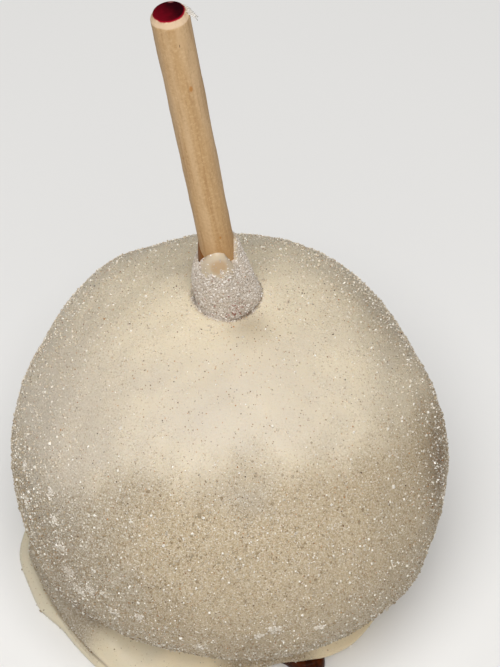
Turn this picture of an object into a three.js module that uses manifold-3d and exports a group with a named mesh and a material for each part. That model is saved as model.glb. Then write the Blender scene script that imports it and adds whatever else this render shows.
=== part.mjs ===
// A toffee apple: an apple under a layer of toffee and a thick coat of white chocolate rolled in
// cinnamon sugar, pushed onto a round wooden stick. Millimetres, +Z up, z = 0 where it stands.
// The front is -Y. Azimuths are in degrees round +Z: 0 right, 90 behind, 180 left, 270 front.

import * as THREE from 'three';
import { mergeVertices } from 'three/addons/utils/BufferGeometryUtils.js';
import Module from 'manifold-3d';

const wasm = await Module();
wasm.setup();

// Driving sizes
const STICK_DIAMETER = 6.35;
const STICK_LENGTH = 139.7;
const STICK_OUT = 67.9;
const STICK_BEVEL = { across: 0.55, along: 1.0 };
const STICK_LEAN = new THREE.Vector3(-0.127, -0.011, 0.992).normalize();
const STICK_ENTRY = new THREE.Vector3(-0.25, 6.2, 80);
const FIT_GAP = 0.3;

const APPLE_RADIUS = 43.8;
const APPLE_CENTRE_Z = 39;
const TOP_DROP = 2.75;
const TAPER = 3.4;

const TOFFEE_THICKNESS = 3;
const TOFFEE_EDGE = 0.9;
const HEM_Z = 4.3;

// Numbers of steps round and down each surface
const ROUND_STEPS = 72;
const COAT_RINGS = 58;
const STICK_SIDES = 40;
const COLLAR_STEPS = 36;

// Swells and hollows of the coat: azimuth, elevation, height and width, the last in degrees
const SWELLS = [
  [133, 34, 2.0, 15], [95, 38, 0.9, 26], [165, 10, 0.35, 20], [57, 36, 0.5, 16], [23, 19, -1.6, 16],
  [205, -20, 0.3, 14], [258, -32, -2.5, 27], [329, -25, 1.2, 15], [285, 42, -0.6, 18], [245, 8, 0.5, 24],
  [300, -8, 0.4, 22], [215, 35, 0.4, 20], [320, 35, 0.5, 16], [60, -5, 0.8, 26], [110, -15, -0.7, 24],
  [150, -8, 0.6, 20],
];

// Plan of the foot: azimuth and radius of the hem, where the coat flowed out round the base
const HEM = [
  [0, 35], [40, 35.4], [80, 35], [115, 36.8], [150, 42], [177, 44], [191, 41.2], [204, 39.3], [217, 38.4],
  [232, 38], [250, 35.5], [266, 31.4], [279, 28.8], [288, 28.8], [300, 30.8], [309, 32.9], [320, 34.2],
  [335, 34.6],
];

// How far the thin lip on the ground reaches past the hem, or stays back under it
const LIP_PAST_HEM = [
  [0, -1.0], [60, 0], [135, 0], [165, 2.2], [182, 2.5], [196, 2.8], [208, 0.8], [220, 0.6], [236, 0.4], [255, 0.2],
  [279, -1.0], [296, -1.8], [309, -3.0], [330, -3.2],
];

// Elevation at which the apple runs into the foot, and how steeply the foot flares there
const NECK = [
  [0, -50], [60, -48], [120, -42], [160, -33], [185, -30], [200, -34], [212, -41], [225, -46], [240, -50],
  [270, -52], [300, -51], [320, -46], [340, -48],
];
const FLARE = [
  [0, 0.35], [90, 0.4], [160, 0.5], [185, 0.5], [205, 0.32], [225, 0.32], [250, 0.42], [300, 0.35], [320, 0.5],
  [340, 0.45],
];

// How far a roll of coat stands out on the left side of the foot, over the lip
const ROLL = [
  [0, 0], [160, 0], [180, 0.2], [192, 0.7], [201, 1.4], [212, 1.8], [222, 1.4], [236, 0.3], [250, 0],
];

// The cuff that the coat makes round the stick: its upper edge, and its radius at parts of that height
const CUFF_TOP = [
  [0, 14.6], [20, 14.6], [60, 14.2], [120, 13], [160, 11], [184, 10.6], [200, 11.4], [220, 13.2],
  [246, 14.5], [270, 15], [292, 14.4], [304, 12.8], [316, 11.3], [328, 11.2], [340, 12.8], [350, 14],
];
const CUFF_SIDES = [
  { part: 0.93, right: 3.6, left: 4.9 }, { part: 0.8, right: 3.95, left: 5.4 },
  { part: 0.62, right: 4.6, left: 5.75 }, { part: 0.38, right: 5.2, left: 5.9 },
  { part: 0.15, right: 5.95, left: 5.95 }, { part: 0.02, right: 6.35, left: 6.05 },
  { part: -0.03, right: 6.3, left: 6.05 },
];

// The toffee: its plan under the apple, and the sleeve of it that climbs the stick
const TOFFEE_PLAN = [
  [0, 27], [90, 28], [180, 29], [250, 26], [286, 25], [293, 27.5], [299, 32.6], [305, 33.2], [310, 30.5],
  [316, 27],
];
const COLLAR_FOOT = 3.6;
const COLLAR_TOP = [
  [0, 8], [90, 9], [120, 11], [150, 13.4], [172, 15.6], [186, 15], [200, 13.9], [222, 12.6], [245, 10.4],
  [270, 9],
];
const COLLAR_WALL = { top: 0.18, middle: 0.5, foot: 0.6 };

const RAD = Math.PI / 180;
const TURN = 2 * Math.PI;

const ease = (x) => {
  const t = Math.min(Math.max(x, 0), 1);
  return t * t * (3 - 2 * t);
};

// A smooth closed curve through [azimuth, value] pairs, which never swings past its own points
function around(pairs, theta) {
  const n = pairs.length;
  const pair = (k) => {
    const [azimuth, value] = pairs[((k % n) + n) % n];
    return [azimuth + 360 * Math.floor(k / n), value];
  };
  const rise = (k) => (pair(k + 1)[1] - pair(k)[1]) / (pair(k + 1)[0] - pair(k)[0]);
  const slope = (k) => {
    const [before, after] = [rise(k - 1), rise(k)];
    return before * after > 0 ? (2 * before * after) / (before + after) : 0;
  };
  const x = ((((theta / RAD) % 360) + 360) % 360);
  let k = -1;
  while (pair(k + 1)[0] <= x) k += 1;
  const span = pair(k + 1)[0] - pair(k)[0];
  const t = (x - pair(k)[0]) / span;
  return (2 * t ** 3 - 3 * t ** 2 + 1) * pair(k)[1] + (t ** 3 - 2 * t ** 2 + t) * span * slope(k)
    + (3 * t ** 2 - 2 * t ** 3) * pair(k + 1)[1] + (t ** 3 - t ** 2) * span * slope(k + 1);
}

// Direction at an azimuth and an elevation, both in degrees
function direction(azimuth, elevation) {
  const level = Math.cos(elevation * RAD);
  return new THREE.Vector3(
    level * Math.cos(azimuth * RAD), level * Math.sin(azimuth * RAD), Math.sin(elevation * RAD));
}

const swells = SWELLS.map(([azimuth, elevation, height, width]) => (
  { towards: direction(azimuth, elevation), height, width }));

// The coat over the apple: a ball that drops at the crown and tapers below, with its swells on it
function onApple(towards) {
  const unit = towards.clone().normalize();
  const elevation = Math.asin(unit.z) / RAD;
  let radius = APPLE_RADIUS - TOP_DROP * Math.max((elevation - 48) / 42, 0) ** 2
    - TAPER * Math.max((-elevation - 8) / 33, 0) ** 2;
  for (const swell of swells) {
    const apart = unit.angleTo(swell.towards) / RAD;
    radius += swell.height * Math.exp(-((apart / swell.width) ** 2));
  }
  return unit.multiplyScalar(radius).add(new THREE.Vector3(0, 0, APPLE_CENTRE_Z));
}

// A point of the apple at an angle from its crown; near the crown the rings gather round the stick
function applePoint(theta, polar) {
  const gather = (1 - ease((polar / RAD - 8) / 70)) / (STICK_ENTRY.z - APPLE_CENTRE_Z);
  return onApple(new THREE.Vector3(
    Math.sin(polar) * Math.cos(theta) + STICK_ENTRY.x * gather,
    Math.sin(polar) * Math.sin(theta) + STICK_ENTRY.y * gather,
    Math.cos(polar)));
}

const groundPoint = (theta, radius, z) => (
  new THREE.Vector3(radius * Math.cos(theta), radius * Math.sin(theta), z));

// A point round the stick: a radius from its axis, and a height along it above where it enters
const stickAcross = new THREE.Vector3(0, 1, 0).cross(STICK_LEAN).normalize();
const stickBack = STICK_LEAN.clone().cross(stickAcross);
function stickPoint(theta, radius, height) {
  return STICK_ENTRY.clone().addScaledVector(STICK_LEAN, height)
    .addScaledVector(stickAcross, radius * Math.cos(theta))
    .addScaledVector(stickBack, radius * Math.sin(theta));
}

// The path of the coat at one azimuth, from the cuff's edge down over the apple to the ground
function coatStations(theta) {
  const stations = [];
  const top = around(CUFF_TOP, theta);
  const leftness = (1 - Math.cos(theta)) / 2;
  const edge = STICK_DIAMETER / 2 + FIT_GAP + 0.1 + 0.9 * leftness ** 2;
  stations.push(stickPoint(theta, edge, top), stickPoint(theta, edge + 0.25, top * 0.985));
  for (const { part, right, left } of CUFF_SIDES) {
    stations.push(stickPoint(theta, right + (left - right) * leftness, top * part));
  }
  for (const polar of [9.3, 11.5, 15, 21, 28, 35, 42, 50, 58, 66, 74, 82, 90, 98, 106]) {
    stations.push(applePoint(theta, polar * RAD));
  }
  const lowest = around(NECK, theta);
  const start = -16;
  for (const part of [0.33, 0.62, 0.86, 1]) {
    stations.push(applePoint(theta, (90 - start - part * (lowest - start)) * RAD));
  }
  const neck = stations[stations.length - 1];
  const neckRadius = Math.hypot(neck.x, neck.y);
  const drop = neck.z - HEM_Z - 0.3;
  const flare = around(FLARE, theta);
  const hem = around(HEM, theta);
  const past = around(LIP_PAST_HEM, theta);
  const proud = ease(past);
  const lip = hem + past;
  const roll = around(ROLL, theta);
  const foot = [
    [neckRadius + 0.25 * (hem - neckRadius) - 1.3 * roll, neck.z - 0.35 * drop - 0.3 * roll],
    [neckRadius + 0.62 * (hem - neckRadius) + roll, neck.z - (0.35 + 0.75 * flare) * drop + 0.9 * roll],
    [hem - 1 + 0.6 * roll, HEM_Z + 0.4 + 0.7 * roll],
    [hem + 0.15, HEM_Z],
    [hem + 0.2 - 0.5 * roll, HEM_Z - 0.9],
    [hem + 0.3 * past, 2.5 + 0.3 * proud],
    [hem + 0.7 * past, 1.7 + 0.9 * proud],
    [lip + 0.1, 1.0 + 1.2 * proud],
    [lip + 0.15, 0.5 + 0.5 * proud],
    [lip - 0.35, 0.12],
    [lip - 1.1, 0],
  ];
  for (const [radius, z] of foot) stations.push(groundPoint(theta, radius, z));
  return stations;
}

// Point of a uniform cubic B-spline through the stations, with its ends held
function onSpline(stations, along) {
  const last = stations.length - 1;
  const k = Math.min(Math.floor(along * (last + 2)), last + 1);
  const t = along * (last + 2) - k;
  const weights = [(1 - t) ** 3, 3 * t ** 3 - 6 * t ** 2 + 4, 1 + 3 * t + 3 * t ** 2 - 3 * t ** 3, t ** 3];
  const point = new THREE.Vector3();
  weights.forEach((weight, i) => {
    const station = stations[Math.min(Math.max(k + i - 2, 0), last)];
    point.addScaledVector(station, weight / 6);
  });
  return point;
}

// A closed surface over rings of points, listed from the top down and counterclockwise from above.
// A looped surface joins the last ring to the first; any other one gets a fan over each end.
function skin(rings, looped) {
  const steps = rings[0].length;
  const positions = rings.flat().flatMap((point) => point.toArray());
  const faces = [];
  const count = looped ? rings.length : rings.length - 1;
  for (let i = 0; i < count; i += 1) {
    for (let j = 0; j < steps; j += 1) {
      const upper = i * steps;
      const lower = ((i + 1) % rings.length) * steps;
      const next = (j + 1) % steps;
      faces.push(upper + j, lower + j, upper + next, upper + next, lower + j, lower + next);
    }
  }
  if (!looped) {
    const ends = [rings[0], rings[rings.length - 1]];
    ends.forEach((ring, end) => {
      const middle = positions.length / 3;
      const centre = new THREE.Vector3();
      for (const point of ring) centre.addScaledVector(point, 1 / steps);
      positions.push(...centre.toArray());
      const first = end === 0 ? 0 : (rings.length - 1) * steps;
      for (let j = 0; j < steps; j += 1) {
        const pair = [first + j, first + (j + 1) % steps];
        if (end === 1) pair.reverse();
        faces.push(middle, ...pair);
      }
    });
  }
  const geometry = new THREE.BufferGeometry();
  geometry.setAttribute('position', new THREE.Float32BufferAttribute(positions, 3));
  geometry.setIndex(faces);
  return geometry;
}

// Rings of points from a function of the azimuth that gives a list of points
function ringsOf(steps, pointsAt) {
  const columns = [];
  for (let j = 0; j < steps; j += 1) columns.push(pointsAt((j / steps) * TURN));
  return columns[0].map((_, i) => columns.map((column) => column[i]));
}

// The coat's whole outside, still solid within
function coatOutside() {
  return skin(ringsOf(ROUND_STEPS, (theta) => {
    const stations = coatStations(theta);
    const points = [];
    for (let i = 0; i < COAT_RINGS; i += 1) points.push(onSpline(stations, i / (COAT_RINGS - 1)));
    return points;
  }), false);
}

// The slab of toffee that the apple stands on, and with a gap round it the room that it needs
function toffeeSlab(gap) {
  const height = TOFFEE_THICKNESS + gap;
  return skin(ringsOf(ROUND_STEPS, (theta) => {
    const radius = around(TOFFEE_PLAN, theta) + gap;
    return [
      groundPoint(theta, radius - 3 * TOFFEE_EDGE, height),
      groundPoint(theta, radius - TOFFEE_EDGE, height - 0.3 * TOFFEE_EDGE),
      groundPoint(theta, radius - 0.2 * TOFFEE_EDGE, height - TOFFEE_EDGE),
      groundPoint(theta, radius, 0.5 * height),
      groundPoint(theta, radius - 0.15 * TOFFEE_EDGE, -gap),
    ];
  }), false);
}

// The sleeve of toffee round the stick, and with a gap round it the room that it needs
function toffeeCollar(gap) {
  const inner = STICK_DIAMETER / 2 + FIT_GAP - gap;
  return skin(ringsOf(COLLAR_STEPS, (theta) => {
    const top = around(COLLAR_TOP, theta) + gap;
    const foot = COLLAR_FOOT - gap;
    const outer = STICK_DIAMETER / 2 + FIT_GAP + gap;
    const at = (part) => foot + part * (top - foot);
    return [
      stickPoint(theta, outer + COLLAR_WALL.top, top),
      stickPoint(theta, outer + 0.5 * (COLLAR_WALL.top + COLLAR_WALL.middle), at(0.85)),
      stickPoint(theta, outer + COLLAR_WALL.middle, at(0.65)),
      stickPoint(theta, outer + COLLAR_WALL.foot, at(0.3)),
      stickPoint(theta, outer + COLLAR_WALL.foot, foot),
      stickPoint(theta, inner, foot),
      stickPoint(theta, inner, at(0.5)),
      stickPoint(theta, inner, top),
    ];
  }), true);
}

// A round bar on +Z from a profile of [radius, z] points
function turned(profile) {
  const points = profile.map(([radius, z]) => new THREE.Vector2(radius, z));
  return new THREE.LatheGeometry(points, STICK_SIDES).rotateX(Math.PI / 2);
}

// The stick, its lower end inside the apple and its bevelled end above
function stickBar() {
  const radius = STICK_DIAMETER / 2;
  const low = STICK_OUT - STICK_LENGTH;
  return turned([
    [0, low], [radius - 0.3, low], [radius, low + 0.3], [radius, STICK_OUT - STICK_BEVEL.along],
    [radius - 0.4 * STICK_BEVEL.across, STICK_OUT - 0.45 * STICK_BEVEL.along],
    [radius - STICK_BEVEL.across, STICK_OUT - 0.06], [radius - STICK_BEVEL.across - 0.15, STICK_OUT],
    [0, STICK_OUT],
  ]);
}

// The hole that the stick sits in, a gap wider and deeper, open above the cuff
function stickHole() {
  const radius = STICK_DIAMETER / 2 + FIT_GAP;
  const low = STICK_OUT - STICK_LENGTH - FIT_GAP;
  return turned([[0, low], [radius, low], [radius, STICK_OUT], [0, STICK_OUT]]);
}

function solidOf(geometry) {
  const bare = geometry.clone();
  bare.deleteAttribute('normal');
  bare.deleteAttribute('uv');
  const merged = mergeVertices(bare, 1e-4);
  return new wasm.Manifold(new wasm.Mesh({
    numProp: 3,
    vertProperties: new Float32Array(merged.attributes.position.array),
    triVerts: new Uint32Array(merged.index.array),
  }));
}

function geometryOf(solid) {
  const mesh = solid.getMesh();
  const geometry = new THREE.BufferGeometry();
  geometry.setAttribute('position', new THREE.Float32BufferAttribute(mesh.vertProperties, 3));
  geometry.setIndex(Array.from(mesh.triVerts));
  return geometry;
}

function part(name, geometry, colour, roughness) {
  geometry.computeVertexNormals();
  const material = new THREE.MeshStandardMaterial({ color: colour, roughness, metalness: 0 });
  const mesh = new THREE.Mesh(geometry, material);
  mesh.name = name;
  return mesh;
}

const stick = part('stick', stickBar(), 0xc39c68, 0.65);
stick.position.copy(STICK_ENTRY);
stick.quaternion.setFromUnitVectors(new THREE.Vector3(0, 0, 1), STICK_LEAN);
stick.updateMatrix();

const coatSolid = solidOf(coatOutside())
  .subtract(solidOf(stickHole().applyMatrix4(stick.matrix)))
  .subtract(solidOf(toffeeCollar(FIT_GAP)))
  .subtract(solidOf(toffeeSlab(FIT_GAP)));

const group = new THREE.Group();
group.add(
  part('coating', geometryOf(coatSolid), 0xd8cbb2, 0.55),
  part('toffee_foot', toffeeSlab(0), 0x4a2409, 0.2),
  part('toffee_collar', toffeeCollar(0), 0x7a4a20, 0.25),
  stick,
);

export default group;
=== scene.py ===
"""Looks of a toffee apple: a white chocolate coat rolled in cinnamon sugar, toffee and a round stick.

Shapes are worked out in millimetres in the part's own frame and become metres when a mesh is made.
The front is -Y; azimuths are in degrees round +Z, 0 right, 90 behind, 180 left, 270 front.
"""
import math
import bpy
import numpy as np
from mathutils import Matrix


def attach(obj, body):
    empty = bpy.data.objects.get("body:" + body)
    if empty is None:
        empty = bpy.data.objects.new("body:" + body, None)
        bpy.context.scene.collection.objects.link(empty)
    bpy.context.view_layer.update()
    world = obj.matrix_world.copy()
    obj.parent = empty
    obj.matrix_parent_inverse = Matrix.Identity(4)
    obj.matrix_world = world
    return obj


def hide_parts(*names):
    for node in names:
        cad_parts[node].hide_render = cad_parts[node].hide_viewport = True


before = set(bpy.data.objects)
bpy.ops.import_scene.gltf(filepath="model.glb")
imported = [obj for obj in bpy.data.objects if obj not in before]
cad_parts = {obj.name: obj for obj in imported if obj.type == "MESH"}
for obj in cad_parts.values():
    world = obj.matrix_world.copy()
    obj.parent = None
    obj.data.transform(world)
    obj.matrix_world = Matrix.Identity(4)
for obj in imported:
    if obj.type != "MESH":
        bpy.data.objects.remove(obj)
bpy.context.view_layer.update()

MM = 0.001
TURN = 2 * math.pi

# Driving sizes, as in the part's own source
STICK_DIAMETER = 6.35
STICK_LENGTH = 139.7
STICK_OUT = 67.9
BEVEL_ACROSS, BEVEL_ALONG = 0.55, 1.0
STICK_LEAN = np.array([-0.127, -0.011, 0.992]) / np.linalg.norm([-0.127, -0.011, 0.992])
STICK_ENTRY = np.array([-0.25, 6.2, 80.0])

APPLE_RADIUS = 43.8
APPLE_CENTRE = np.array([0.0, 0.0, 39.0])

# How far the ball drops at the crown and draws in below, with the degrees above level and below
# level where each starts and over how many more it grows to that
TOP_DROP, DROP_FROM, DROP_OVER = 2.75, 48, 42
TAPER, TAPER_FROM, TAPER_OVER = 3.4, 8, 33

# Angles in degrees from the crown: the rings over the apple, and where the rings gathered round the
# stick start to centre on the apple and over how many they do
APPLE_RINGS = (9.3, 11.5, 15, 21, 28, 35, 42, 50, 58, 66, 74, 82, 90, 98, 106)
GATHER_FROM, GATHER_OVER = 8, 70

TOFFEE_THICKNESS = 3.0
TOFFEE_EDGE = 0.9
EDGE_SPAN = 1.6

# Height of the foot's hem, where the coat steps in above the lip
HEM_Z = 4.3

# Swells and hollows of the coat: azimuth, elevation, height and width, the last in degrees
SWELLS = [
    (133, 34, 2.0, 15), (95, 38, 0.9, 26), (165, 10, 0.35, 20), (57, 36, 0.5, 16), (23, 19, -1.6, 16),
    (205, -20, 0.3, 14), (258, -32, -2.5, 27), (329, -25, 1.2, 15), (285, 42, -0.6, 18), (245, 8, 0.5, 24),
    (300, -8, 0.4, 22), (215, 35, 0.4, 20), (320, 35, 0.5, 16), (60, -5, 0.8, 26), (110, -15, -0.7, 24),
    (150, -8, 0.6, 20),
]

# Plan of the foot, as azimuth and radius of the hem, and how far the lip on the ground reaches past it
HEM = [
    (0, 35), (40, 35.4), (80, 35), (115, 36.8), (150, 42), (177, 44), (191, 41.2), (204, 39.3), (217, 38.4),
    (232, 38), (250, 35.5), (266, 31.4), (279, 28.8), (288, 28.8), (300, 30.8), (309, 32.9), (320, 34.2),
    (335, 34.6),
]
LIP_PAST_HEM = [
    (0, -1.0), (60, 0), (135, 0), (165, 2.2), (182, 2.5), (196, 2.8), (208, 0.8), (220, 0.6), (236, 0.4),
    (255, 0.2), (279, -1.0), (296, -1.8), (309, -3.0), (330, -3.2),
]

# Elevation at which the apple runs into the foot, and how steeply the foot flares there
NECK = [
    (0, -50), (60, -48), (120, -42), (160, -33), (185, -30), (200, -34), (212, -41), (225, -46), (240, -50),
    (270, -52), (300, -51), (320, -46), (340, -48),
]
FLARE = [
    (0, 0.35), (90, 0.4), (160, 0.5), (185, 0.5), (205, 0.32), (225, 0.32), (250, 0.42), (300, 0.35),
    (320, 0.5), (340, 0.45),
]

# How far a roll of coat stands out on the left side of the foot, over the lip
ROLL = [(0, 0), (160, 0), (180, 0.2), (192, 0.7), (201, 1.4), (212, 1.8), (222, 1.4), (236, 0.3), (250, 0)]

# Relief of the coat as ripples: height and size in millimetres, and seed
COAT_RELIEF = [(0.16, 17, 3), (0.05, 5.5, 4)]

# Height under which the coat counts as the foot, the coat's clearance over the toffee, and how far
# in towards the axis the rings of the underside go, as a part of the way
FOOT_ZONE = 20
TOFFEE_GAP = 0.03
UNDERSIDE_REACH = 0.985

# The cuff round the stick: its upper edge, and its radius at parts of that height, right and left
CUFF_TOP = [
    (0, 14.6), (20, 14.6), (60, 14.2), (120, 13), (160, 11), (184, 10.6), (200, 11.4), (220, 13.2),
    (246, 14.5), (270, 15), (292, 14.4), (304, 12.8), (316, 11.3), (328, 11.2), (340, 12.8), (350, 14),
]
CUFF_SIDES = [
    (0.93, 3.6, 4.9), (0.8, 3.95, 5.4), (0.62, 4.6, 5.75), (0.38, 5.2, 5.9), (0.15, 5.95, 5.95),
    (0.02, 6.35, 6.05), (-0.03, 6.3, 6.05),
]

# The toffee: its plan under the apple, and the upper edge of the sleeve of it on the stick
TOFFEE_PLAN = [
    (0, 27), (90, 28), (180, 29), (250, 26), (286, 25), (293, 27.5), (299, 32.6), (305, 33.2), (310, 30.5),
    (316, 27),
]
COLLAR_TOP = [
    (0, 8), (90, 9), (120, 11), (150, 13.4), (172, 15.6), (186, 15), (200, 13.9), (222, 12.6), (245, 10.4),
    (270, 9),
]
COLLAR_FOOT = 3.6

# The sleeve's wall from its edge down: part of its height, and thickness
COLLAR_WALL = [
    (1.0, 0.03), (0.985, 0.09), (0.95, 0.17), (0.88, 0.32), (0.78, 0.52), (0.66, 0.72), (0.5, 0.86),
    (0.3, 0.9), (0.0, 0.9),
]


def ease(x):
    """Smooth step from 0 to 1: 3x^2 - 2x^3, held outside that range."""
    x = np.clip(x, 0, 1)
    return x * x * (3 - 2 * x)


def around(pairs, theta):
    """Closed curve through (azimuth, value) pairs: cubic Hermite, with the harmonic mean of the two
    neighbouring slopes at each pair, or 0 at a peak, so that it never swings past its own points."""
    azimuth, value = np.array(pairs, float).T
    azimuth = np.concatenate([azimuth - 360, azimuth, azimuth + 360])
    value = np.tile(value, 3)
    rise = np.diff(value) / np.diff(azimuth)
    before, after = rise[:-1], rise[1:]
    slope = np.zeros_like(value)
    same_way = before * after > 0
    slope[1:-1][same_way] = (2 * before * after)[same_way] / (before + after)[same_way]
    x = np.degrees(theta) % 360
    k = np.clip(np.searchsorted(azimuth, x, "right") - 1, 0, len(azimuth) - 2)
    span = azimuth[k + 1] - azimuth[k]
    t = (x - azimuth[k]) / span
    return ((2 * t**3 - 3 * t**2 + 1) * value[k] + (t**3 - 2 * t**2 + t) * span * slope[k]
            + (3 * t**2 - 2 * t**3) * value[k + 1] + (t**3 - t**2) * span * slope[k + 1])


def direction(azimuth, elevation):
    """Unit vector at an azimuth and elevation in degrees."""
    a, e = np.radians(azimuth), np.radians(elevation)
    return np.array([np.cos(a) * np.cos(e), np.sin(a) * np.cos(e), np.sin(e)])


def bumps(unit, table):
    """Sum of height * exp(-(angle / width)^2) over a table of (azimuth, elevation, height, width)."""
    total = np.zeros(unit.shape[:-1])
    for azimuth, elevation, height, width in table:
        apart = np.degrees(np.arccos(np.clip(unit @ direction(azimuth, elevation), -1, 1)))
        total += height * np.exp(-(apart / width) ** 2)
    return total


def ripple(points, size, seed, waves=24):
    """Soft random relief: cosines along random directions, with wavelengths near size, summed so that
    their spread is 1."""
    draw = np.random.default_rng(seed)
    ways = draw.normal(size=(waves, 3))
    ways *= (TURN / (size * draw.uniform(0.7, 1.5, waves)) / np.linalg.norm(ways, axis=1))[:, None]
    return np.cos(points @ ways.T + draw.uniform(0, TURN, waves)).sum(-1) * math.sqrt(2 / waves)


def on_apple(towards):
    """Coat over the apple: a ball that drops at the crown and tapers below, with the swells on it."""
    unit = towards / np.linalg.norm(towards, axis=-1, keepdims=True)
    elevation = np.degrees(np.arcsin(np.clip(unit[..., 2], -1, 1)))
    radius = (APPLE_RADIUS - TOP_DROP * np.maximum((elevation - DROP_FROM) / DROP_OVER, 0) ** 2
              - TAPER * np.maximum((-elevation - TAPER_FROM) / TAPER_OVER, 0) ** 2 + bumps(unit, SWELLS))
    return APPLE_CENTRE + unit * radius[..., None]


def apple_ring(theta, polar):
    """Ring of the apple at an angle from its crown; near the crown the rings gather round the stick."""
    gathered = 1 - ease((np.degrees(polar) - GATHER_FROM) / GATHER_OVER)
    gather = gathered / (STICK_ENTRY[2] - APPLE_CENTRE[2])
    level = np.sin(polar)
    return on_apple(np.stack([level * np.cos(theta) + STICK_ENTRY[0] * gather,
                              level * np.sin(theta) + STICK_ENTRY[1] * gather,
                              np.cos(polar) + 0 * theta], -1))


def ground_ring(theta, radius, z):
    """Ring round the vertical axis."""
    return np.stack([radius * np.cos(theta), radius * np.sin(theta), z + 0 * theta], -1)


STICK_ACROSS = np.cross([0, 1, 0], STICK_LEAN) / np.linalg.norm(np.cross([0, 1, 0], STICK_LEAN))
STICK_BACK = np.cross(STICK_LEAN, STICK_ACROSS)


def stick_ring(theta, radius, height):
    """Ring round the stick's axis, at a height along it above where it enters the apple."""
    radius, height = radius + 0 * theta, height + 0 * theta
    return (STICK_ENTRY + height[..., None] * STICK_LEAN
            + (radius * np.cos(theta))[..., None] * STICK_ACROSS
            + (radius * np.sin(theta))[..., None] * STICK_BACK)


def spline(stations, count):
    """Uniform cubic B-spline down the stations, its ends held: (stations, steps, 3) to count rings."""
    held = np.concatenate([stations[:1]] * 2 + [stations] + [stations[-1:]] * 2)
    spans = len(held) - 3
    along = np.linspace(0, spans * (1 - 1e-9), count)
    k = along.astype(int)
    t = (along - k)[:, None, None]
    return ((1 - t) ** 3 * held[k] + (3 * t**3 - 6 * t**2 + 4) * held[k + 1]
            + (1 + 3 * t + 3 * t**2 - 3 * t**3) * held[k + 2] + t**3 * held[k + 3]) / 6


def normals_of(rings):
    """Outward unit normals of a grid of rings: the step down crossed with the step round."""
    round_step = np.roll(rings, -1, axis=1) - np.roll(rings, 1, axis=1)
    down_step = np.gradient(rings, axis=0)
    normal = np.cross(down_step, round_step)
    return normal / np.maximum(np.linalg.norm(normal, axis=-1, keepdims=True), 1e-9)


def toffee_height(theta, radius):
    """Height of the toffee slab at a radius: flat, and rounded down over EDGE_SPAN * TOFFEE_EDGE."""
    inside = np.clip((around(TOFFEE_PLAN, theta) - radius) / (EDGE_SPAN * TOFFEE_EDGE), 0, 1)
    return TOFFEE_THICKNESS * np.sqrt(1 - (1 - inside) ** 2)


COAT_STEPS = 400
COAT_RINGS = 214
UNDER_RINGS = 14


def coat_stations(theta):
    """Path of the coat from the cuff's edge over the apple to the ground, one ring of points a station."""
    top = around(CUFF_TOP, theta)
    leftness = (1 - np.cos(theta)) / 2
    bare = STICK_DIAMETER / 2
    over_toffee = 0.75 * leftness**2
    stations = [stick_ring(theta, bare - 0.15, top + 0.1), stick_ring(theta, bare + 0.02, top + 0.12),
                stick_ring(theta, bare + 0.3 + over_toffee, top * 0.99)]
    for part, right, left in CUFF_SIDES:
        stations.append(stick_ring(theta, right + (left - right) * leftness, top * part))
    for polar in APPLE_RINGS:
        stations.append(apple_ring(theta, np.radians(polar)))
    lowest = around(NECK, theta)
    start = 90 - APPLE_RINGS[-1]
    for part in (0.33, 0.62, 0.86, 1):
        stations.append(apple_ring(theta, np.radians(90 - start - part * (lowest - start))))
    neck = stations[-1]
    neck_radius, neck_z = np.hypot(neck[:, 0], neck[:, 1]), neck[:, 2]
    drop = neck_z - HEM_Z - 0.3
    flare = around(FLARE, theta)
    hem = around(HEM, theta)
    past = around(LIP_PAST_HEM, theta)
    proud = ease(past)
    lip = hem + past
    roll = around(ROLL, theta)
    foot = [
        (neck_radius + 0.25 * (hem - neck_radius) - 1.3 * roll, neck_z - 0.35 * drop - 0.3 * roll),
        (neck_radius + 0.62 * (hem - neck_radius) + roll,
         neck_z - (0.35 + 0.75 * flare) * drop + 0.9 * roll),
        (hem - 1 + 0.6 * roll, HEM_Z + 0.4 + 0.7 * roll),
        (hem + 0.15, HEM_Z),
        (hem + 0.2 - 0.5 * roll, HEM_Z - 0.9),
        (hem + 0.3 * past, 2.5 + 0.3 * proud),
        (hem + 0.7 * past, 1.7 + 0.9 * proud),
        (lip + 0.1, 1.0 + 1.2 * proud),
        (lip + 0.15, 0.5 + 0.5 * proud),
        (lip - 0.35, 0.12),
        (lip - 1.1, 0),
    ]
    stations += [ground_ring(theta, radius, z) for radius, z in foot]
    return np.stack(stations)


def coat_rings():
    """The coat's outside and underside as rings, with relief, and raised clear of the toffee."""
    theta = np.linspace(0, TURN, COAT_STEPS, endpoint=False)
    rings = spline(coat_stations(theta), COAT_RINGS)
    height = rings[..., 2]
    off_ground = ease((height - 1.5) / 6)
    relief = off_ground * sum(swell * ripple(rings, size, seed) for swell, size, seed in COAT_RELIEF)
    rings = rings + normals_of(rings) * relief[..., None]
    last = np.hypot(rings[-1, :, 0], rings[-1, :, 1])
    inward = 1 - np.linspace(0, 1, UNDER_RINGS + 1)[1:] * UNDERSIDE_REACH
    under = np.stack([ground_ring(theta, last * part, 0 * theta) for part in inward])
    rings = np.concatenate([rings, under])
    azimuth = np.arctan2(rings[..., 1], rings[..., 0])
    clear = toffee_height(azimuth, np.hypot(rings[..., 0], rings[..., 1])) + TOFFEE_GAP
    rings[..., 2] = np.maximum(rings[..., 2], np.where(rings[..., 2] < FOOT_ZONE, clear, 0))
    return rings


# Meshes

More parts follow.
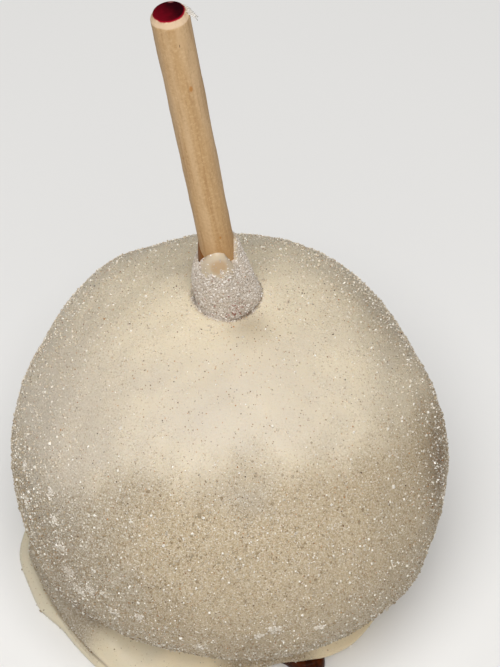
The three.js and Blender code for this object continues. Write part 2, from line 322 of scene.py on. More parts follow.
def skin(rings):
    """Points and quads of a closed surface over rings, listed top down, with a fan over each end."""
    count, steps, _ = rings.shape
    index = np.arange(count * steps).reshape(count, steps)
    upper, lower = index[:-1], index[1:]
    quads = np.stack([upper, lower, np.roll(lower, -1, 1), np.roll(upper, -1, 1)], -1).reshape(-1, 4)
    points = np.concatenate([rings.reshape(-1, 3), [rings[0].mean(0)], [rings[-1].mean(0)]])
    first, last = index[0], index[-1]
    top = np.stack([np.full(steps, count * steps), first, np.roll(first, -1)], -1)
    bottom = np.stack([np.full(steps, count * steps + 1), np.roll(last, -1), last], -1)
    return points, [quads, np.concatenate([top, bottom])]


def mesh_piece(name, points, face_groups, material, smooth=True, attributes=()):
    """A mesh object from arrays of points in millimetres and of faces, grouped by their corner count."""
    corners = np.concatenate([faces.ravel() for faces in face_groups]).astype(np.int32)
    sizes = np.concatenate([np.full(len(faces), faces.shape[1]) for faces in face_groups])
    starts = np.concatenate([[0], np.cumsum(sizes)[:-1]]).astype(np.int32)
    mesh = bpy.data.meshes.new(name)
    mesh.vertices.add(len(points))
    mesh.vertices.foreach_set("co", (np.asarray(points) * MM).astype(np.float32).ravel())
    mesh.loops.add(len(corners))
    mesh.loops.foreach_set("vertex_index", corners)
    mesh.polygons.add(len(sizes))
    mesh.polygons.foreach_set("loop_start", starts)
    mesh.update(calc_edges=True)
    mesh.polygons.foreach_set("use_smooth", np.full(len(sizes), smooth))
    for label, values in attributes:
        layer = mesh.attributes.new(label, "FLOAT", "POINT")
        layer.data.foreach_set("value", values.astype(np.float32).ravel())
    mesh.validate()
    mesh.materials.append(material)
    piece = bpy.data.objects.new(name, mesh)
    bpy.context.scene.collection.objects.link(piece)
    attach(piece, "root")
    return piece


# Shaders

def find(sockets, key):
    """Socket by position, by identifier or else by name."""
    if isinstance(key, int):
        return sockets[key]
    for socket in sockets:
        if socket.identifier == key:
            return socket
    return sockets[key]


class Wire:
    """A shader's number or colour: an output socket that Python's operators combine with others."""

    def __init__(self, paint, socket):
        self.paint, self.socket = paint, socket

    def math(self, operation, *others):
        values = {i: value for i, value in enumerate((self,) + others)}
        return self.paint.node("ShaderNodeMath", {"operation": operation}, values)

    def __add__(self, other):
        return self.math("ADD", other)

    def __sub__(self, other):
        return self.math("SUBTRACT", other)

    def __mul__(self, other):
        return self.math("MULTIPLY", other)

    def __truediv__(self, other):
        return self.math("DIVIDE", other)

    def __pow__(self, other):
        return self.math("POWER", other)

    def __rsub__(self, other):
        return self.math("MULTIPLY", -1.0).math("ADD", other)

    __radd__, __rmul__ = __add__, __mul__

    def between(self, low, high):
        """0 below low and 1 above high, smooth between them; low may be the larger."""
        sockets = {"Value": self, "From Min": low, "From Max": high}
        return self.paint.node("ShaderNodeMapRange", {"interpolation_type": "SMOOTHSTEP"}, sockets)


class Paint:
    """One material's nodes."""

    def __init__(self, name):
        self.material = bpy.data.materials.new(name)
        self.material.use_nodes = True
        self.tree = self.material.node_tree
        self.tree.nodes.clear()

    def node(self, kind, settings=None, sockets=None, out=0):
        """A node: its settings first, then its sockets' values or links; gives one of its outputs."""
        made = self.tree.nodes.new(kind)
        for name, value in (settings or {}).items():
            setattr(made, name, value)
        for key, value in (sockets or {}).items():
            socket = find(made.inputs, key)
            if isinstance(value, Wire):
                self.tree.links.new(value.socket, socket)
            elif isinstance(value, (tuple, list)) and len(value) == 3 and len(socket.default_value) == 4:
                socket.default_value = (*value, 1)
            else:
                socket.default_value = value
        return Wire(self, find(made.outputs, out))

    def place(self):
        return self.node("ShaderNodeTexCoord", out="Object")

    def attribute(self, name):
        return self.node("ShaderNodeAttribute", {"attribute_name": name}, out="Fac")

    def noise(self, place, size, detail=2.0, roughness=0.5, stretch=None, distortion=0.0):
        """Noise with features of about size millimetres, 0 to 1 round 0.5."""
        if stretch:
            place = self.node("ShaderNodeVectorMath", {"operation": "MULTIPLY"}, {0: place, 1: stretch})
        sockets = {"Vector": place, "Scale": 1 / (size * MM), "Detail": detail, "Roughness": roughness,
                   "Distortion": distortion}
        return self.node("ShaderNodeTexNoise", None, sockets, "Fac")

    def spots(self, place, size):
        """Distance to the nearest of random points that are about size millimetres apart, in that unit."""
        sockets = {"Vector": place, "Scale": 1 / (size * MM)}
        return self.node("ShaderNodeTexVoronoi", None, sockets, "Distance")

    def mix(self, factor, first, second):
        """Colour from first to second as factor goes from 0 to 1."""
        sockets = {"Factor_Float": factor, "A_Color": first, "B_Color": second}
        return self.node("ShaderNodeMix", {"data_type": "RGBA"}, sockets, "Result_Color")

    def relief(self, height, depth, normal=None):
        """Bump normal from a height, with 1 standing depth millimetres high."""
        sockets = {"Height": height, "Distance": depth * MM, "Strength": 1.0}
        if normal:
            sockets["Normal"] = normal
        return self.node("ShaderNodeBump", None, sockets)

    def surface(self, **values):
        """The Principled shader, with words joined by _ for its sockets' names, to the output."""
        sockets = {key.replace("_", " "): value for key, value in values.items()}
        shader = self.node("ShaderNodeBsdfPrincipled", None, sockets)
        output = self.tree.nodes.new("ShaderNodeOutputMaterial")
        self.tree.links.new(shader.socket, output.inputs["Surface"])
        return self.material


def srgb(red, green, blue):
    """Linear colour from 8-bit sRGB values."""
    return tuple(((c / 255 + 0.055) / 1.055) ** 2.4 if c > 10 else c / 3294.6 for c in (red, green, blue))


# Finishes

def coat_finish():
    """White chocolate: yellow cream where it is bare, greyer under sugar and browner where it is crusted,
    with light and dark grit, brown flecks and painted shade in creases and patches; tan where the film
    on the stick shows it."""
    paint = Paint("sugared_coat")
    place = paint.place()
    sugar = paint.attribute("sugar")
    bare = paint.attribute("bare")
    film = paint.attribute("film")
    crust = paint.attribute("crust")
    warm = paint.attribute("warm")
    cuff = paint.attribute("cuff")
    mottle = paint.noise(place, 6, 3, 0.6)
    grit = paint.noise(place, 0.36, 3, 0.75) - 0.5
    dust = paint.noise(place, 0.2, 2, 0.7) - 0.5
    tint = (warm + (mottle - 0.5) * 0.22).between(0.0, 1.0)
    cream = paint.mix(tint, srgb(205, 193, 174), srgb(224, 210, 183))
    crusted = paint.mix(tint, srgb(175, 163, 143), srgb(191, 173, 143))
    ground = paint.mix((crust + (mottle - 0.5) * 0.3).between(0.0, 1.0), cream, crusted)
    smooth = paint.mix(bare, ground, paint.mix(tint, srgb(214, 204, 180), srgb(238, 220, 184)))
    coated = paint.mix(cuff * (1 - bare), smooth, srgb(208, 194, 175))
    rough_share = (0.22 + sugar * 0.9) * (1 - bare * 0.35)
    speckle = (grit * 1.6 + dust * 1.6) * rough_share
    dark = paint.mix((speckle * -1).between(0.0, 0.3) * 0.75, coated, srgb(134, 112, 82))
    light = paint.mix(speckle.between(0.02, 0.3) * 0.7, dark, srgb(240, 233, 220))
    tiny = paint.spots(place, 0.95)
    seen = paint.noise(place, 2.1, 1)
    fleck = tiny.between(0.16, 0.09) * seen.between(0.47, 0.55) * (1 - bare * 0.5) * 0.75
    flecked = paint.mix(fleck, light, srgb(128, 86, 50))
    # Painted shade: the coat turns browner where the shade field is high
    shaded = paint.mix(paint.attribute("painted_shade") * 0.75, flecked, srgb(128, 108, 80))
    filmed = paint.mix(film, shaded, srgb(202, 185, 160))
    tinted = paint.mix(film * paint.attribute("tan"), filmed, srgb(194, 165, 130))
    relief = (grit + dust * 0.7) * rough_share
    normal = paint.relief(relief, 0.13, paint.relief(mottle, 0.1))
    rough = 0.52 + sugar * 0.12 - bare * 0.12
    return paint.surface(Base_Color=tinted, Roughness=rough, Normal=normal, IOR=1.46,
                         Specular_IOR_Level=0.35, Subsurface_Weight=0.1,
                         Subsurface_Radius=(0.004, 0.0025, 0.0012), Subsurface_Scale=0.3)


def sugar_finish(name, pale, crusted, bright, shadow):
    """Sugar crystals, pale or crusted as the ground is and browner where shade is painted on it, with a few
    bright ones; shadow is how far the darkest of them turn brown."""
    paint = Paint(name)
    shade = paint.attribute("shade")
    dull = paint.mix(paint.attribute("crust"), pale, crusted)
    # Painted shade on the grains, as on the coat beneath them
    shaded = paint.mix(paint.attribute("painted_shade") * 0.9, dull, srgb(106, 84, 60))
    darker = paint.mix(shade.between(0.4, 0.0) * shadow, shaded, srgb(116, 86, 54))
    # The few bright crystals are clear sugar and partly painted glints
    colour = paint.mix(shade**3.2, darker, bright)
    return paint.surface(Base_Color=colour, Roughness=0.4, IOR=1.54, Specular_IOR_Level=0.3)


def spice_finish():
    """Ground cinnamon: from dark bark through brown to rust."""
    paint = Paint("cinnamon_specks")
    shade = paint.attribute("shade")
    darker = paint.mix(shade.between(0.15, 0.5), srgb(58, 34, 20), srgb(136, 86, 46))
    colour = paint.mix(shade.between(0.4, 0.9), darker, srgb(190, 134, 78))
    return paint.surface(Base_Color=colour, Roughness=0.8, Specular_IOR_Level=0.2)


def toffee_finish():
    """Dark glossy toffee, amber where it is thin and high."""
    paint = Paint("toffee")
    place = paint.place()
    streak = paint.noise(place, 3.0, 3, 0.6, distortion=0.6)
    thin = paint.attribute("thin")
    deep = paint.mix(streak.between(0.35, 0.7), srgb(44, 17, 5), srgb(84, 38, 12))
    colour = paint.mix(thin, deep, srgb(136, 84, 34))
    normal = paint.relief(streak, 0.12)
    return paint.surface(Base_Color=colour, Roughness=0.4, Normal=normal, IOR=1.5, Specular_IOR_Level=0.08)


# Small orange knots in the stick's wood, as across, back, height and size, and where a short dark tick is
WOOD_KNOTS = [(1.45, -2.82, 53.9, 0.65), (1.3, -2.9, 18.6, 0.35), (-2.4, -2.1, 38.0, 0.25)]
WOOD_TICK = (1.05, -3.0, 63.2)


def wood_finish():
    """Birch dowel: fine grain along it, a few knots, and the red paint on its end."""
    paint = Paint("stick_wood")
    turn = Matrix([STICK_ACROSS, STICK_BACK, STICK_LEAN]).transposed().to_euler()
    settings = {"vector_type": "TEXTURE"}
    sockets = {"Vector": paint.place(), "Location": tuple(STICK_ENTRY * MM), "Rotation": tuple(turn)}
    place = paint.node("ShaderNodeMapping", settings, sockets)
    parts = {axis: paint.node("ShaderNodeSeparateXYZ", None, {0: place}, axis) for axis in "XYZ"}
    across, back, height = (parts[axis] / MM for axis in "XYZ")
    radius = (across * across + back * back) ** 0.5
    grain = paint.noise(place, 0.55, 3, 0.6, stretch=(1, 1, 0.035))
    pores = paint.noise(place, 0.22, 2, 0.5, stretch=(1, 1, 0.12))
    wide = paint.noise(place, 2.4, 2, 0.5, stretch=(1, 1, 0.06))
    ticks = paint.noise(place, 0.5, 3, 0.65, stretch=(1, 1, 0.9))
    pale = paint.mix(wide.between(0.3, 0.7), srgb(216, 182, 140), srgb(202, 164, 117))
    lined = paint.mix(grain.between(0.45, 0.72) * 0.5, pale, srgb(172, 130, 84))
    pored = paint.mix(pores.between(0.66, 0.8) * 0.3, lined, srgb(140, 100, 62))
    flecked = paint.mix(ticks.between(0.5, 0.68) * 0.4, pored, srgb(228, 198, 154))
    ticked = paint.mix(ticks.between(0.46, 0.28) * 0.3, flecked, srgb(160, 118, 72))
    # Painted shade down the stick's left edge
    shaded_left = paint.mix(across.between(-1.6, -3.4) * 0.3, ticked, srgb(144, 124, 100))
    low = paint.mix(height.between(24, 12) * 0.4, shaded_left, srgb(178, 128, 74))
    knotted = low
    for where_across, where_back, where_height, size in WOOD_KNOTS:
        aside = (across - where_across) ** 2 + (back - where_back) ** 2
        off = (aside * 2 + (height - where_height) ** 2 * 0.6) ** 0.5
        knotted = paint.mix(off.between(size, size * 0.35) * 0.7, knotted, srgb(186, 118, 38))
    tick_across, tick_back, tick_height = WOOD_TICK
    off = ((across - tick_across) ** 2 * 70 + (back - tick_back) ** 2
           + (height - tick_height) ** 2 * 3) ** 0.5
    knotted = paint.mix(off.between(0.75, 0.35) * 0.75, knotted, srgb(92, 62, 38))
    ragged = paint.noise(place, 1.1, 3, 0.6) * 0.7 - 0.35
    rim_side = across * 0.05 - back * 0.1 - 0.15
    bevel_foot = STICK_OUT - BEVEL_ALONG
    on_bevel = height.between(bevel_foot - 0.2, bevel_foot + 0.15)
    fresh = paint.mix(on_bevel * 0.85, knotted, srgb(222, 194, 163))
    blotch = paint.noise(place, 1.3, 3, 0.6)
    lit = (blotch * 0.6 - 0.3 - across * 0.16 - back * 0.12).between(-0.35, 0.45)
    red = paint.mix(lit, srgb(36, 0, 6), srgb(104, 4, 20))
    disc = STICK_DIAMETER / 2 - BEVEL_ACROSS
    near_rim = (radius + ragged * 0.5 + rim_side).between(disc - 0.45, disc)
    rim = paint.mix(near_rim * 0.85, red, srgb(168, 8, 38))
    # A painted highlight: pale pink on the far edge of the red end
    highlight_spot = (((across - 0.2) ** 2 * 0.7 + (back - 2.4) ** 2 * 3.0) ** 0.5 + ragged).between(0.6, 0.2)
    highlighted = paint.mix(highlight_spot * 0.5, rim, srgb(196, 120, 116))
    painted = ((radius + ragged * 0.6).between(disc + 0.12, disc - 0.08)
               * height.between(STICK_OUT - 0.5, STICK_OUT - 0.3))
    colour = paint.mix(painted, fresh, highlighted)
    normal = paint.relief(grain * 0.6 + pores * 0.5 + ticks * 0.1, 0.08)
    return paint.surface(Base_Color=colour, Roughness=0.62 - painted * 0.1, Normal=normal,
                         Specular_IOR_Level=0.12)


def fibre_finish():
    """Torn pale wood fibre."""
    paint = Paint("wood_fibre")
    streak = paint.noise(paint.place(), 0.3, 2)
    colour = paint.mix(streak, srgb(240, 232, 220), srgb(252, 250, 246))
    return paint.surface(Base_Color=colour, Roughness=0.85, Alpha=0.55)


def floor_finish():
    """Plain pale paper."""
    paint = Paint("pale_floor")
    tone = paint.noise(paint.place(), 300, 2)
    colour = paint.mix(tone, srgb(232, 231, 229), srgb(236, 235, 233))
    return paint.surface(Base_Color=colour, Roughness=0.9, Specular_IOR_Level=0.2)


# Pieces

# Elevation below which the coat is crusted and darker, by azimuth
CRUST_BELOW = [
    (0, 32), (60, 26), (120, 20), (180, 18), (200, 22), (218, 28), (240, 44), (262, 48), (276, 51),
    (290, 49), (312, 45), (340, 38),
]
# Small clumps of white sugar: azimuth, elevation, and width in millimetres
SUGAR_CLUMPS = [
    (226, 7, 1.3), (229, 3, 1.0), (233, 6, 0.9), (222, 13, 1.1), (218, 19, 0.8), (240, 3, 0.9),
    (237, 9, 0.7), (247, 5, 0.8), (281, 5, 1.0), (277, 2, 0.7), (292, 1, 0.7), (214, 25, 0.7),
    (204, 12, 1.0), (199, 20, 0.8), (300, 30, 0.4), (262, -4, 0.8), (340, 38, 0.4),
]
# Where sugar lies thicker or thinner, where shade is painted on the coat, and where it is warmer or
# greyer: azimuth, elevation, amount and width in degrees
SUGAR_PATCHES = [
    (279, 68, -0.3, 20), (200, 14, 0.3, 26), (228, 10, 0.2, 20), (352, 20, 0.1, 22), (20, 48, 0.2, 22),
    (150, 42, 0.15, 22), (90, 0, 0.15, 60),
]
# Painted shade: darkest at the right rim, beside the cuff and along the crease over the foot
SHADE_PATCHES = [
    (345, 17, 0.85, 11), (25, 45, 0.35, 12), (6, 41, 0.3, 9), (222, 7, 0.25, 8), (264, 45, 0.14, 5),
    (305, 38, 0.14, 5), (276, -5, 0.2, 9), (226, -12, 0.5, 7), (254, 6, 0.18, 9), (333, 83.6, 0.5, 5),
]
WARM_PATCHES = [
    (140, 76, 0.6, 22), (30, 62, 0.4, 24), (262, 30, 0.45, 22), (300, 22, 0.45, 26), (345, 20, 0.4, 24),
    (262, 0, 0.35, 20), (277, 41, -0.4, 5), (243, 12, -0.3, 9), (272, 62, -0.35, 22), (212, 20, -0.4, 24),
    (196, 40, -0.3, 20), (90, 0, 0.2, 60), (316, -50, 0.6, 20), (268, -38, 0.4, 16), (188, -45, -0.5, 24),
]


def cuff_share(off_stick, along, reach):
    """1 on the cuff, fading to 0 at reach millimetres from the stick's axis and 1 under its entry."""
    return ease((reach - off_stick) / 1.1) * ease((along + 1) / 1.2)


def shade_in_creases(rings):
    """How much shade is painted in the creases, 0 to 1: the concave bend down the rings, which is the
    second difference along the normal over the squared step, eased from 0.1 to 0.6 per millimetre."""
    reach = 3
    before, after = np.roll(rings, reach, axis=0), np.roll(rings, -reach, axis=0)
    step = np.linalg.norm(after - before, axis=-1) / 2
    bend = ((before + after - 2 * rings) * normals_of(rings)).sum(-1) / np.maximum(step, 0.2) ** 2
    # The cuff's edge, the lip and the underside are left out
    bend[:reach + 6] = 0
    bend[-UNDER_RINGS - 8:] = 0
    return ease((bend - 0.1) / 0.5)


def coat_fields(rings):
    """Eight fields on the coat, each 0 to 1: how thick the sugar lies, how smooth and bare the coat is,
    where it is the thin film on the stick, how crusted, how warm in colour, where the cuff is, where the
    film shows tan, and how much shade is painted on it, in creases, under the ball and in patches."""
    away = rings - APPLE_CENTRE
    unit = away / np.maximum(np.linalg.norm(away, axis=-1, keepdims=True), 1e-9)
    elevation = np.degrees(np.arcsin(np.clip(unit[..., 2], -1, 1)))
    theta = np.arctan2(rings[..., 1], rings[..., 0])
    blotch = ripple(rings, 4.5, 12)
    below = around(CRUST_BELOW, theta) - elevation + 1.3 * ripple(rings, 9, 11) + 0.8 * blotch
    crust = ease((below + 12) / 26)
    sugar = 0.2 + 0.35 * crust + bumps(unit, SUGAR_PATCHES) + 0.05 * blotch
    warm = 0.5 + bumps(unit, WARM_PATCHES) + 0.05 * ripple(rings, 11, 13) + 0.04 * ripple(rings, 4.5, 14)
    from_entry = rings - STICK_ENTRY
    along = from_entry @ STICK_LEAN
    off_stick = np.linalg.norm(from_entry - along[..., None] * STICK_LEAN, axis=-1)
    on_cuff = cuff_share(off_stick, along, 7.2)
    turn = np.arctan2(from_entry @ STICK_BACK, from_entry @ STICK_ACROSS)
    in_front = ease((np.cos(turn - math.radians(268)) - 0.6) / 0.35)
    below_edge = around(CUFF_TOP, turn) - along + 0.35 * ripple(rings, 1.6, 15)
    film = on_cuff * ease((0.8 + 4.2 * in_front - below_edge) / 2)
    sugar = sugar * (1 - on_cuff) + on_cuff * 0.95
    azimuth = np.degrees(theta) % 360
    radius = np.hypot(rings[..., 0], rings[..., 1])
    height = rings[..., 2]
    low = ease((10.5 - height) / 2)
    front_ledge = low * ease((azimuth - 214) / 12) * ease((272 - azimuth) / 12)
    right_ledge = low * ease((azimuth - 298) / 10) * ease((352 - azimuth) / 12) * 0.9
    lip = ease((radius - around(HEM, theta) - 0.15) / 0.4) * ease((3.6 - height) / 0.5)
    edge = ease((3.8 - height) / 0.8) * 0.5
    bare = np.clip(np.maximum.reduce([front_ledge, right_ledge, lip, edge, film]), 0, 1)
    crust *= 1 - on_cuff
    sugar = np.clip(sugar, 0, 1) * (1 - 0.92 * bare)
    tan_centre = stick_ring(np.array([math.radians(272)]), 4.3, 12.4)[0]
    tan = ease((2.0 - np.linalg.norm(rings - tan_centre, axis=-1)) / 1.0)
    rolled = np.clip(around(ROLL, theta) / 1.6, 0, 1)
    # Painted shade under the ball's overhang, in the creases of the foot and in the listed patches
    under_ball = ease((height - 8.2) / 1.2) * ease((15 - height) / 2) * rolled
    creases = 0.75 * shade_in_creases(rings) * np.where(height < FOOT_ZONE, rolled, 1)
    painted_shade = np.maximum(creases, 0.15 * under_ball)
    painted_shade = np.clip(painted_shade + bumps(unit, SHADE_PATCHES), 0, 1)
    return {"sugar": sugar, "bare": bare, "film": film, "crust": crust, "warm": np.clip(warm, 0, 1),
            "cuff": on_cuff, "tan": tan, "painted_shade": painted_shade}


def scatter(rings, wanted, count, seed):
    """Random places on a grid of rings and the normals there: a cell is drawn by its area times the
    wanted density, and the place is a random point of the cell."""
    draw = np.random.default_rng(seed)
    beside = np.roll(rings, -1, axis=1)
    a, b, c, d = rings[:-1], beside[:-1], beside[1:], rings[1:]
    facing = np.cross(c - a, b - d).reshape(-1, 3)
    size = np.linalg.norm(facing, axis=1)
    total = np.cumsum(size * wanted[:-1].ravel())
    cell = np.searchsorted(total, draw.random(count) * total[-1])
    s, t = draw.random((2, count, 1))
    corner = [corners.reshape(-1, 3)[cell] for corners in (a, b, c, d)]
    places = (corner[0] * (1 - s) + corner[1] * s) * (1 - t) + (corner[3] * (1 - s) + corner[2] * s) * t
    return places, facing[cell] / size[cell, None], cell


# Shapes of a grain, about one unit across: corners and faces
BLOCK = (np.array([(x, y, z) for z in (-0.5, 0.5) for y in (-0.5, 0.5) for x in (-0.5, 0.5)]),
         np.array([(0, 2, 3, 1), (4, 5, 7, 6), (0, 1, 5, 4), (1, 3, 7, 5), (3, 2, 6, 7), (2, 0, 4, 6)]))
SLIVER = (np.array([(0.5, 0, -0.3), (-0.35, 0.45, -0.3), (-0.35, -0.45, -0.3), (0, 0, 0.5)]),
          np.array([(0, 1, 3), (1, 2, 3), (2, 0, 3), (0, 2, 1)]))
CHIP = (np.array([(0.5, 0, 0), (0, 0.5, 0), (-0.5, 0, 0), (0, -0.5, 0), (0, 0, 0.5), (0, 0, -0.5)]),
        np.array([(0, 1, 4), (1, 2, 4), (2, 3, 4), (3, 0, 4), (1, 0, 5), (2, 1, 5), (3, 2, 5), (0, 3, 5)]))

# Kinds of grain: shape, count, middle width in millimetres and the spread of its logarithm, how far
# they lean, how thick they are and how deep they sit, in their own size, and seed
GRAINS = {
    "sugar_dust": (SLIVER, 46000, 0.23, 0.28, 1.2, 0.9, 0.15, 31),
    "sugar_grains": (BLOCK, 15500, 0.25, 0.28, 1.0, 0.8, 0.15, 33),
    "sugar_chips": (CHIP, 24000, 0.18, 0.25, 1.0, 0.8, 0.15, 43),
    "cuff_sugar": (BLOCK, 14000, 0.18, 0.3, 0.6, 0.6, 0.2, 35),
    "sugar_clumps": (BLOCK, 1400, 0.2, 0.25, 0.8, 0.7, 0.1, 45),
    "cinnamon_powder": (CHIP, 10000, 0.18, 0.28, 0.5, 0.5, 0.05, 37),
    "cinnamon_bark": (CHIP, 1700, 0.25, 0.22, 0.5, 0.6, 0.05, 39),
    "pink_sugar": (BLOCK, 150, 0.18, 0.2, 1.0, 0.8, 0.1, 41),
}


def grains(name, shape, spots, sizes, material, tilt, flat, sink, seed, ground):
    """Joined grains: each corner is its place plus the grain's turned and scaled shape. tilt is how far
    a grain leans off the surface, flat its thickness, and sink how deep it sits, all in its own size.
    ground holds fields of the coat by name, and each grain carries their values at its place."""
    draw = np.random.default_rng(seed)
    places, normals, cell = spots
    count = len(places)
    up = normals + tilt * draw.normal(size=(count, 3))
    up /= np.linalg.norm(up, axis=1, keepdims=True)
    side = np.cross(draw.normal(size=(count, 3)), up)
    side /= np.linalg.norm(side, axis=1, keepdims=True)
    axes = np.stack([side, np.cross(up, side), up], 1)
    scale = sizes[:, None] * np.stack([np.ones(count), draw.uniform(0.65, 1, count),
                                       flat * draw.uniform(0.7, 1.1, count)], 1)
    corners, faces = shape
    centres = places + normals * (sizes * (0.5 * flat - sink))[:, None]
    points = centres[:, None] + (corners[None] * scale[:, None]) @ axes
    index = faces[None] + len(corners) * np.arange(count)[:, None, None]
    values = [("shade", np.repeat(draw.random(count), len(corners)))]
    for label, field in ground.items():
        values.append((label, np.repeat(field[:-1].ravel()[cell], len(corners))))
    return mesh_piece(name, points.reshape(-1, 3), [index.reshape(-1, faces.shape[1])], material,
                      smooth=False, attributes=values)


def coat_pieces():
    """The coat, and the sugar and cinnamon that stick to it."""
    rings = coat_rings()
    fields = coat_fields(rings)
    points, faces = skin(rings)
    values = [(name, np.append(field.ravel(), [0, 0])) for name, field in fields.items()]
    coat = mesh_piece("sugared_coat", points, faces, coat_finish(), attributes=values)
    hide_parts("coating")

    # Grains lie on the rings from the cuff's edge to the lip
    first, last = 4, COAT_RINGS - 6
    outside = rings[first:last]
    thick, smooth, painted_shade = (fields[name][first:last] for name in ("sugar", "bare", "painted_shade"))
    ground = {name: fields[name][first:last] for name in ("crust", "painted_shade")}
    along = (outside - STICK_ENTRY) @ STICK_LEAN
    from_stick = np.linalg.norm(np.cross(outside - STICK_ENTRY, STICK_LEAN), axis=-1)
    on_cuff = cuff_share(from_stick, along, 7.1)
    open_ground = (1 - on_cuff) * (1 - 0.88 * smooth) * ease((outside[..., 2] - 0.5) / 0.4)

    near_clump = []
    for azimuth, elevation, width in SUGAR_CLUMPS:
        away = np.linalg.norm(outside - on_apple(direction(azimuth, elevation)), axis=-1)
        near_clump.append(np.exp(-(away / width) ** 2))
    blush_centre = stick_ring(np.array([math.radians(286)]), 5.9, 2.4)[0]
    near_blush = np.exp(-(np.linalg.norm(outside - blush_centre, axis=-1) / 1.4) ** 2)

    white = sugar_finish("sugar_crystals", srgb(212, 199, 177), srgb(168, 151, 122),
                         srgb(255, 252, 243), 0.28)
    frosted = srgb(204, 191, 176)
    frosting = sugar_finish("cuff_sugar", frosted, frosted, srgb(248, 243, 236), 0.12)
    snowy = sugar_finish("white_sugar", srgb(222, 214, 202), srgb(212, 202, 186),
                         srgb(248, 244, 236), 0.1)
    spice = spice_finish()
    rosy = srgb(160, 106, 90)
    blush = sugar_finish("pink_sugar", rosy, rosy, srgb(214, 180, 168), 0.1)
    spiced = 0.5 + 0.5 * thick
    kinds = {
        "sugar_dust": (white, (0.08 + thick**1.6) * open_ground),
        "sugar_grains": (white, (0.04 + thick**1.8) * open_ground),
        "sugar_chips": (white, (0.06 + thick**1.4) * open_ground),
        "cuff_sugar": (frosting, on_cuff * (1 - 0.97 * smooth)),
        "sugar_clumps": (snowy, np.max(near_clump, axis=0)),
        # Cinnamon lies thicker where shade is painted on the coat, so its dark specks are partly painted
        # shade
        "cinnamon_powder": (spice, (spiced + 3 * painted_shade) * (1 - 0.4 * smooth)),
        "cinnamon_bark": (spice, spiced * (1 - 0.5 * smooth)),
        "pink_sugar": (blush, (near_blush + 0.02 * on_cuff) * (1 - smooth)),
    }
    draw = np.random.default_rng(21)
    for name, (finish, wanted) in kinds.items():
        shape, count, width, spread, tilt, flat, sink, seed = GRAINS[name]
        spots = scatter(outside, wanted, count, seed)
        sizes = draw.lognormal(math.log(width), spread, count)
        grains(name, shape, spots, sizes, finish, tilt, flat, sink, seed + 1, ground)


def toffee_pieces():
    """The toffee slab under the apple, and the sleeve of it beside the stick."""
    finish = toffee_finish()
    steps, levels = 360, 18
    theta = np.linspace(0, TURN, steps, endpoint=False)
    plan = around(TOFFEE_PLAN, theta)
    inward = np.concatenate([np.linspace(12, EDGE_SPAN, 5), np.linspace(1.4, 0, levels)]) * TOFFEE_EDGE
    rings = [ground_ring(theta, plan - back, toffee_height(theta, plan - back)) for back in inward]
    rings.append(ground_ring(theta, plan - 0.15, 0 * theta))
    rings = np.stack(rings)
    points, faces = skin(rings)
    thin = np.zeros(len(points))
    slab = mesh_piece("toffee_slab", points, faces, finish, attributes=[("thin", thin)])
    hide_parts("toffee_foot")

    theta = np.linspace(0, TURN, 96, endpoint=False)
    bare = STICK_DIAMETER / 2
    top = around(COLLAR_TOP, theta) + 0.12 * ripple(stick_ring(theta, bare, 10), 3, 5)
    rings = [stick_ring(theta, bare - 0.1, top), stick_ring(theta, bare + 0.01, top + 0.05)]
    for part, wall in COLLAR_WALL:
        rings.append(stick_ring(theta, bare + wall, COLLAR_FOOT + part * (top - COLLAR_FOOT)))
    rings.append(stick_ring(theta, bare - 0.1, COLLAR_FOOT))
    rings = np.stack(rings)
    points, faces = skin(rings)
    height = (points - STICK_ENTRY) @ STICK_LEAN
    thin = ease((height - 9.4) / 2.6) * 0.85 + 0.1
    sleeve = mesh_piece("toffee_sleeve", points, faces, finish, attributes=[("thin", thin)])
    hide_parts("toffee_collar")


def fuzz_path(start, from_edge, length, joints):
    """Paths that leave the bevel outward and bend down, as an array of (joints, paths, 3). start is the
    angle round the stick, and from_edge is 0 at the bevel's foot and 1 at the flat end."""
    root = stick_ring(start, STICK_DIAMETER / 2 - 0.03 - from_edge * BEVEL_ACROSS,
                      STICK_OUT - BEVEL_ALONG * (1 - from_edge))
    outward = np.cos(start)[:, None] * STICK_ACROSS + (np.sin(start) - 0.35)[:, None] * STICK_BACK
    length = (length + 0 * start)[:, None]
    part = np.linspace(0, 1, joints)[:, None, None]
    return root + length * (part * (outward * 0.85 - STICK_LEAN * 0.05) - 0.5 * part**2 * STICK_LEAN)


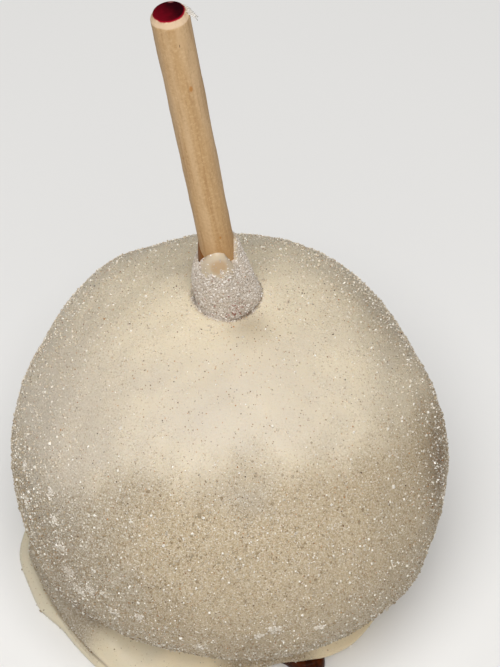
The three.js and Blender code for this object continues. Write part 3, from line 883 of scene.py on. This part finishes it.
def stick_pieces():
    """The round stick with its bevelled, painted end, and the fibres torn up on one side of it."""
    theta = np.linspace(0, TURN, 128, endpoint=False)
    radius = STICK_DIAMETER / 2
    low = STICK_OUT - STICK_LENGTH
    inner = radius - BEVEL_ACROSS
    profile = [(part * inner, STICK_OUT + 0.02 * (1 - part**2)) for part in (0.15, 0.4, 0.65, 0.85, 0.95)]
    profile += [(inner + 0.02, STICK_OUT - 0.05), (inner + 0.14, STICK_OUT - 0.3)]
    profile += [(inner + 0.32, STICK_OUT - 0.72), (radius - 0.06, STICK_OUT - BEVEL_ALONG + 0.12)]
    profile += [(radius, STICK_OUT - BEVEL_ALONG - 0.1)]
    profile += [(radius, height) for height in np.linspace(STICK_OUT - BEVEL_ALONG - 0.6, low + 1, 90)]
    profile += [(radius, low + 0.3), (radius - 0.3, low)]
    rings = np.stack([stick_ring(theta, r, h) for r, h in profile])
    unevenness = 0.025 * ripple(rings * [1, 1, 0.25], 2.2, 7) + 0.012 * ripple(rings, 0.9, 8)
    rings[6:-2] += (normals_of(rings) * unevenness[..., None])[6:-2]
    points, faces = skin(rings)
    stick = mesh_piece("wooden_stick", points, faces, wood_finish())
    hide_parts("stick")

    fuzz = fibre_finish()
    torn_from, torn_to = np.radians([-6, 52])
    share = np.linspace(0, 1, 40)
    rag = 1 + 0.3 * ripple(np.stack([share * 4, 0 * share, 0 * share], -1), 0.7, 52)
    rows = fuzz_path(torn_from + share * (torn_to - torn_from), 0.3, (1.2 - 0.5 * share) * rag, 8)
    sheet = 0.02 * STICK_ACROSS
    flap = np.concatenate([rows + sheet, rows[:, ::-1] - sheet], axis=1)
    points, faces = skin(flap[::-1])
    mesh_piece("torn_flap", points, faces, fuzz)

    draw = np.random.default_rng(51)
    count = 50
    share = draw.random(count)
    rows = fuzz_path(torn_from + share * (torn_to - torn_from), draw.uniform(0, 0.8, count),
                     (1.25 - 0.55 * share) * draw.uniform(0.7, 1.1, count), 8)
    bend = np.linspace(0, 1, len(rows))[:, None, None] ** 2 * 0.15
    rows = rows + bend * draw.normal(size=(count, 3))
    wide = 0.05 * (1 - 0.5 * np.linspace(0, 1, len(rows)))[:, None, None]
    section = np.stack([rows + wide * STICK_LEAN, rows + wide * STICK_ACROSS, rows - wide * STICK_LEAN,
                        rows - wide * STICK_ACROSS], 2)
    built = [skin(blade[::-1]) for blade in section.transpose(1, 0, 2, 3)]
    size = len(built[0][0])
    points = np.concatenate([points for points, _ in built])
    quads = np.concatenate([faces[0] + size * i for i, (_, faces) in enumerate(built)])
    fans = np.concatenate([faces[1] + size * i for i, (_, faces) in enumerate(built)])
    mesh_piece("torn_fibres", points, [quads, fans], fuzz)


# Stage

# Soft lights: name, azimuth and elevation in degrees, distance and size in metres, and watts
SOFT_LIGHTS = [("key_light", 266, 66, 2.4, 1.9, 72.0)]
SKY_STRENGTH = 0.01


def stage():
    """A pale floor, one large soft light high over the front, and a nearly black sky."""
    scene = bpy.context.scene
    half = 3000
    corners = np.array([(-half, -half, 0), (half, -half, 0), (half, half, 0), (-half, half, 0)], float)
    mesh = bpy.data.meshes.new("floor")
    mesh.from_pydata([tuple(corner * MM) for corner in corners], [], [(0, 1, 2, 3)])
    mesh.materials.append(floor_finish())
    floor = bpy.data.objects.new("floor", mesh)
    scene.collection.objects.link(floor)

    for name, azimuth, elevation, distance, size, power in SOFT_LIGHTS:
        lamp = bpy.data.lights.new(name, "AREA")
        lamp.shape = "DISK"
        lamp.size = size
        lamp.energy = power
        lit = bpy.data.objects.new(name, lamp)
        towards = direction(azimuth, elevation)
        lit.location = tuple(APPLE_CENTRE * MM + towards * distance)
        lit.rotation_euler = (-lit.location).to_track_quat("-Z", "Y").to_euler()
        scene.collection.objects.link(lit)

    world = bpy.data.worlds.new("sky")
    world.use_nodes = True
    background = world.node_tree.nodes["Background"]
    background.inputs["Color"].default_value = (1.0, 0.985, 0.96, 1)
    background.inputs["Strength"].default_value = SKY_STRENGTH
    scene.world = world
    scene.view_settings.view_transform = "Standard"


# The photograph's height and the lens's focal length in pixels, the sensor's width in millimetres,
# and the camera's place in millimetres and how far it looks down in degrees
FRAME_HEIGHT = 667
FOCAL_PIXELS = 1760
SENSOR_WIDTH = 36.0
CAMERA_AT = np.array([3.94, -215.14, 323.68])
CAMERA_ELEVATION = 49.0


def camera():
    """The camera at the photograph's viewing angle, on -Y and looking down."""
    lens = bpy.data.cameras.new("camera")
    lens.sensor_width = SENSOR_WIDTH
    lens.lens = FOCAL_PIXELS * SENSOR_WIDTH / FRAME_HEIGHT
    lens.clip_start = 0.01
    view = bpy.data.objects.new("camera", lens)
    view.location = tuple(CAMERA_AT * MM)
    view.rotation_euler = (math.radians(90 - CAMERA_ELEVATION), 0, 0)
    bpy.context.scene.collection.objects.link(view)
    bpy.context.scene.camera = view


camera()
stage()
coat_pieces()
toffee_pieces()
stick_pieces()
